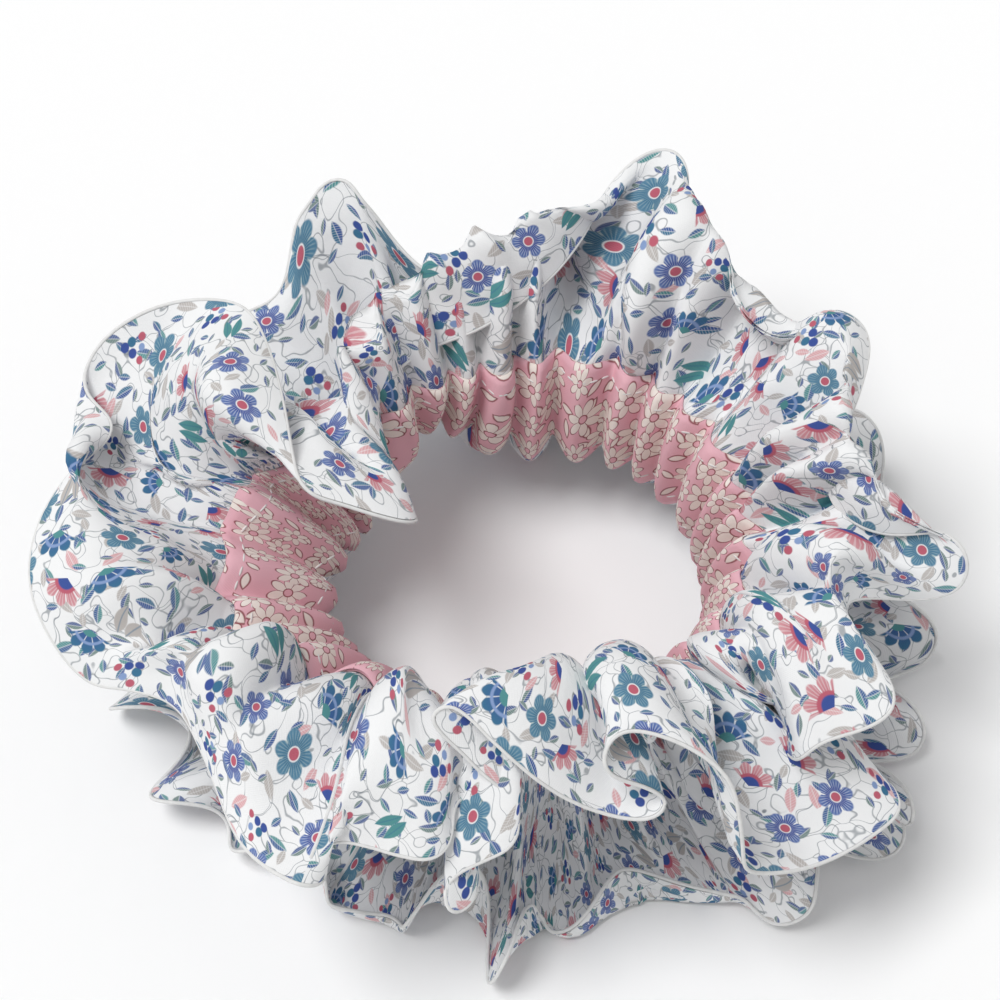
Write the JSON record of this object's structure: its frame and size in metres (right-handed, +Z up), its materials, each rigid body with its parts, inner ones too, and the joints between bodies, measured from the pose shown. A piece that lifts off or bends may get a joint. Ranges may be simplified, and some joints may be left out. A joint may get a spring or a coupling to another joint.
{
  "type": "scrunchie",
  "caption": "Ruffled fabric scrunchie: a gathered double-layer strip with an elastic in a sewn casing, that holds hair in its central hole.",
  "frame": {"origin": "centre of the bounding box in X and Y, at the lowest point of the lower ruffle", "axes": "+Z up along the hole's axis, +X to the picture's right, +Y away from the camera"},
  "size_m": [0.163, 0.1458, 0.0588],
  "materials": {
    "ruffle_cotton": "matte",
    "casing_cotton": "matte",
    "elastic": "matte",
    "thread": "matte"
  },
  "bodies": {
    "root": {"face_cloth": "ruffle_cotton", "back_cloth": "ruffle_cotton", "casing_band": "casing_cotton", "elastic_loop": "elastic", "elastic_join_stitch": "thread", "casing_stitch_upper": "thread", "casing_stitch_lower": "thread", "casing_closing_stitch": "thread", "hem_seam_upper": "thread", "hem_seam_lower": "thread", "strip_end_seam": "thread"}
  },
  "joints": []
}
